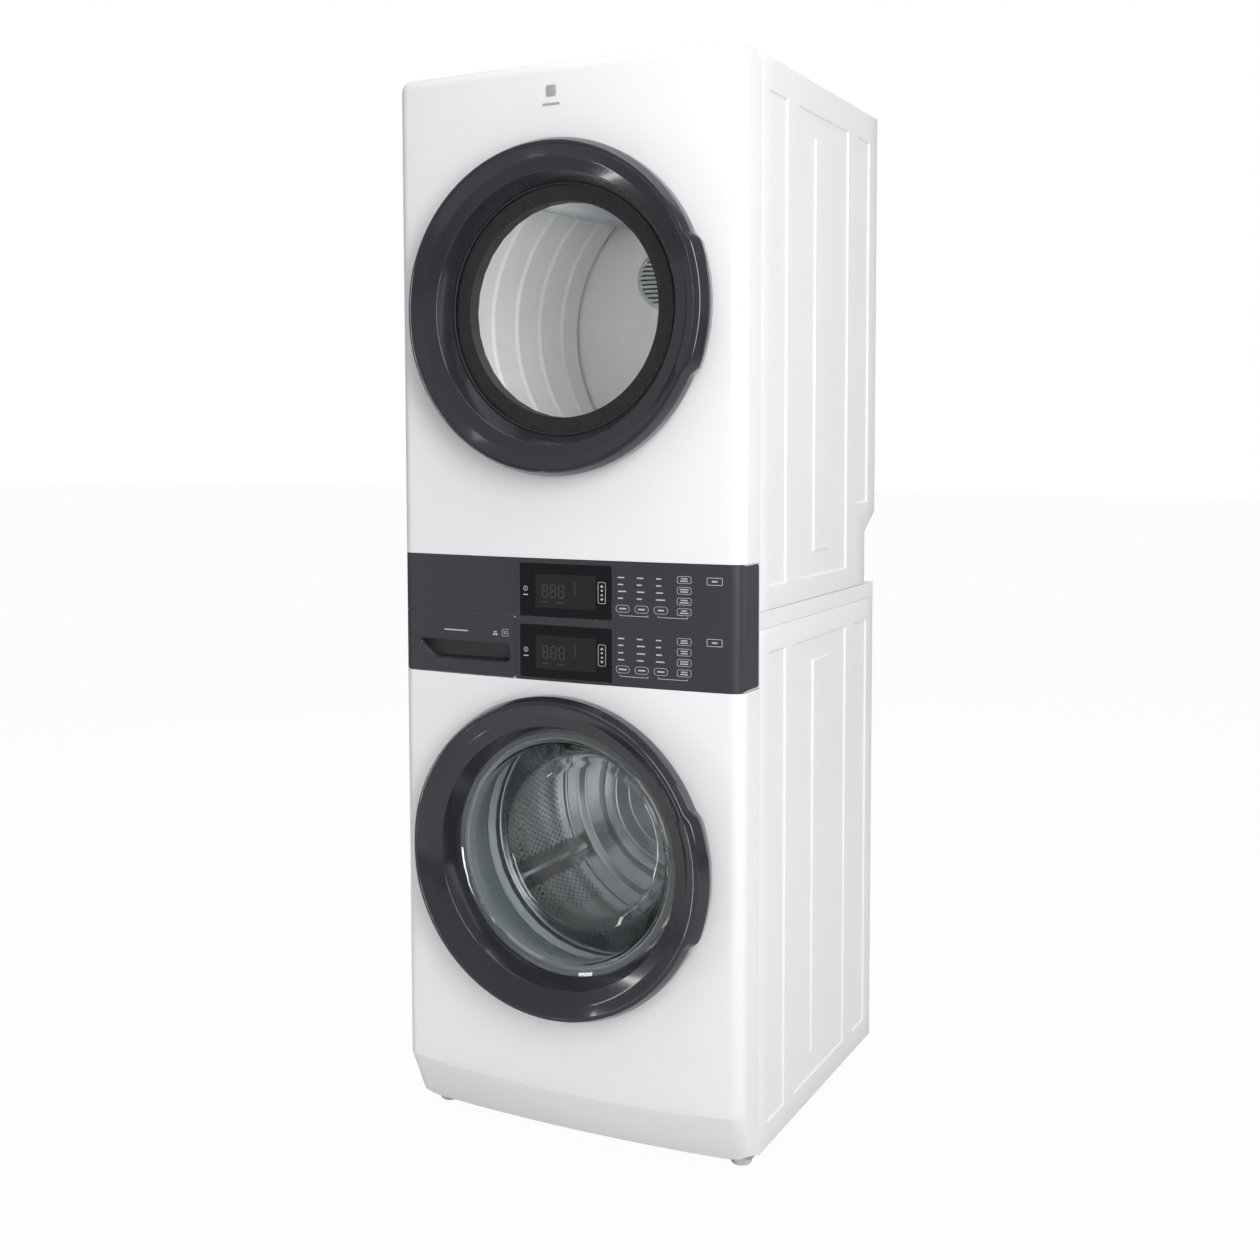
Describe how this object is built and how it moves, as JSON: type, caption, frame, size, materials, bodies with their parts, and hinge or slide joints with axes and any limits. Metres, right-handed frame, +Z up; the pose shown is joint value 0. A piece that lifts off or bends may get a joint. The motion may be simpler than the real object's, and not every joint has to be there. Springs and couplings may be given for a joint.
{
  "type": "washer dryer stack",
  "caption": "Tall laundry tower: a front-loading washer below a dryer, with round glass doors, a dark control console between them and a detergent drawer.",
  "frame": {"origin": "floor level, in the middle of the overall width and depth", "axes": "+Z up, -Y out of the door side, +X to the right seen from the front"},
  "size_m": [0.6858, 0.8128, 1.9368],
  "materials": {
    "white": "satin white enamel",
    "slate": "dark slate moulded panel",
    "ring": "dark slate moulded ring",
    "black_glass": "glossy black display window",
    "clear_glass": "clear tempered glass",
    "stainless": "brushed stainless steel",
    "galvanised": "zinc-coated sheet steel",
    "cast_iron": "painted casting",
    "aluminium": "die-cast aluminium",
    "grey_plastic": "moulded grey plastic",
    "dark_plastic": "moulded dark plastic",
    "white_plastic": "moulded white plastic",
    "gasket_rubber": "grey elastomer bellows",
    "black_rubber": "black rubber",
    "damper_steel": "bright spring steel"
  },
  "bodies": {
    "cabinet": {"washer_front_panel": "white", "dryer_front_panel": "white", "control_panel": "slate", "console_frame": "white_plastic", "washer_display": "black_glass", "dryer_display": "black_glass", "washer_side_left": "white", "washer_side_right": "white", "dryer_side_left": "white", "dryer_side_right": "white", "washer_rear_panel": "galvanised", "dryer_rear_panel": "galvanised", "dryer_top_panel": "white", "stack_frame": "white", "washer_base": "galvanised", "dryer_base": "galvanised", "dispenser_housing": "grey_plastic", "washer_hinge_bracket": "damper_steel", "washer_door_lock": "dark_plastic", "dryer_hinge_bracket": "damper_steel", "dryer_door_latch": "dark_plastic", "washer_gasket": "gasket_rubber", "tub_spring_left": "damper_steel", "tub_spring_right": "damper_steel", "tub_damper_left": "dark_plastic", "tub_damper_right": "dark_plastic", "dryer_front_bulkhead": "grey_plastic", "dryer_rear_bulkhead": "galvanised", "dryer_belt": "black_rubber", "dryer_motor": "aluminium", "blower_housing": "dark_plastic", "exhaust_duct": "galvanised"},
    "washer_door": {"washer_door_ring": "ring", "washer_door_glass": "clear_glass", "washer_door_liner": "dark_plastic", "washer_door_hook": "damper_steel", "washer_door_knuckle": "damper_steel"},
    "dryer_door": {"dryer_door_ring": "ring", "dryer_door_glass": "clear_glass", "dryer_door_liner": "dark_plastic", "dryer_door_hook": "damper_steel", "dryer_door_knuckle": "damper_steel"},
    "detergent_drawer": {"drawer_front": "slate", "drawer_tray": "white_plastic"},
    "tub": {"washer_tub": "grey_plastic", "counterweight": "cast_iron", "washer_belt": "black_rubber", "washer_motor": "aluminium"},
    "washing_drum": {"washer_drum": "stainless", "drum_pulley": "aluminium"},
    "washer_rotor": {"washer_motor_pulley": "damper_steel"},
    "drying_drum": {"dryer_drum": "stainless"},
    "left_roller": {"drum_roller_left": "black_rubber"},
    "right_roller": {"drum_roller_right": "black_rubber"},
    "dryer_rotor": {"dryer_motor_shaft": "damper_steel"},
    "lint_screen": {"lint_filter": "grey_plastic"},
    "front_left_leg": {"levelling_leg_front_left": "white_plastic"},
    "front_right_leg": {"levelling_leg_front_right": "white_plastic"},
    "rear_left_leg": {"levelling_leg_rear_left": "white_plastic"},
    "rear_right_leg": {"levelling_leg_rear_right": "white_plastic"}
  },
  "joints": [
    {"name": "washer_door_hinge", "type": "hinge", "parent": "cabinet", "child": "washer_door", "pos_m": [-0.27, -0.3784, 0.539], "axis": [0, 0, -1], "range_deg": [0, 145]},
    {"name": "dryer_door_hinge", "type": "hinge", "parent": "cabinet", "child": "dryer_door", "pos_m": [-0.27, -0.3784, 1.507], "axis": [0, 0, -1], "range_deg": [0, 145]},
    {"name": "detergent_drawer_slide", "type": "slide", "parent": "cabinet", "child": "detergent_drawer", "axis": [0, -1, 0], "range_m": [0, 0.22]},
    {"name": "tub_suspension", "type": "slide", "parent": "cabinet", "child": "tub", "axis": [0, 0, 1], "range_m": [-0.015, 0.015], "stiffness_N_per_m": 20000, "springref_m": 0.01866, "deforming": ["washer_gasket", "tub_spring_left", "tub_spring_right", "tub_damper_left", "tub_damper_right"]},
    {"name": "washing_drum_spin", "type": "hinge", "parent": "tub", "child": "washing_drum", "pos_m": [0, 0, 0.539], "axis": [0, 1, 0], "continuous": true},
    {"name": "washer_motor_spin", "type": "hinge", "parent": "tub", "child": "washer_rotor", "pos_m": [-0.11, 0.24, 0.168], "axis": [0, 1, 0], "continuous": true},
    {"name": "drying_drum_spin", "type": "hinge", "parent": "cabinet", "child": "drying_drum", "pos_m": [0, 0, 1.507], "axis": [0, 1, 0], "continuous": true},
    {"name": "left_roller_spin", "type": "hinge", "parent": "cabinet", "child": "left_roller", "pos_m": [-0.20333, 0.246, 1.21661], "axis": [0, 1, 0], "continuous": true},
    {"name": "right_roller_spin", "type": "hinge", "parent": "cabinet", "child": "right_roller", "pos_m": [0.20333, 0.246, 1.21661], "axis": [0, 1, 0], "continuous": true},
    {"name": "dryer_motor_spin", "type": "hinge", "parent": "cabinet", "child": "dryer_rotor", "pos_m": [0.125, 0, 1.078], "axis": [0, 1, 0], "continuous": true},
    {"name": "lint_screen_slide", "type": "slide", "parent": "cabinet", "child": "lint_screen", "axis": [0, 0, 1], "range_m": [0, 0.12]},
    {"name": "front_left_leg_screw", "type": "slide", "parent": "cabinet", "child": "front_left_leg", "axis": [0, 0, -1], "range_m": [0, 0.02]},
    {"name": "front_right_leg_screw", "type": "slide", "parent": "cabinet", "child": "front_right_leg", "axis": [0, 0, -1], "range_m": [0, 0.02]},
    {"name": "rear_left_leg_screw", "type": "slide", "parent": "cabinet", "child": "rear_left_leg", "axis": [0, 0, -1], "range_m": [0, 0.02]},
    {"name": "rear_right_leg_screw", "type": "slide", "parent": "cabinet", "child": "rear_right_leg", "axis": [0, 0, -1], "range_m": [0, 0.02]}
  ],
  "couplings": [
    {"joint": "washer_motor_spin", "follows": "washing_drum_spin", "ratio": 12.5},
    {"joint": "left_roller_spin", "follows": "drying_drum_spin", "ratio": -8.3158},
    {"joint": "right_roller_spin", "follows": "drying_drum_spin", "ratio": -8.3158},
    {"joint": "dryer_motor_spin", "follows": "drying_drum_spin", "ratio": 33.263}
  ]
}
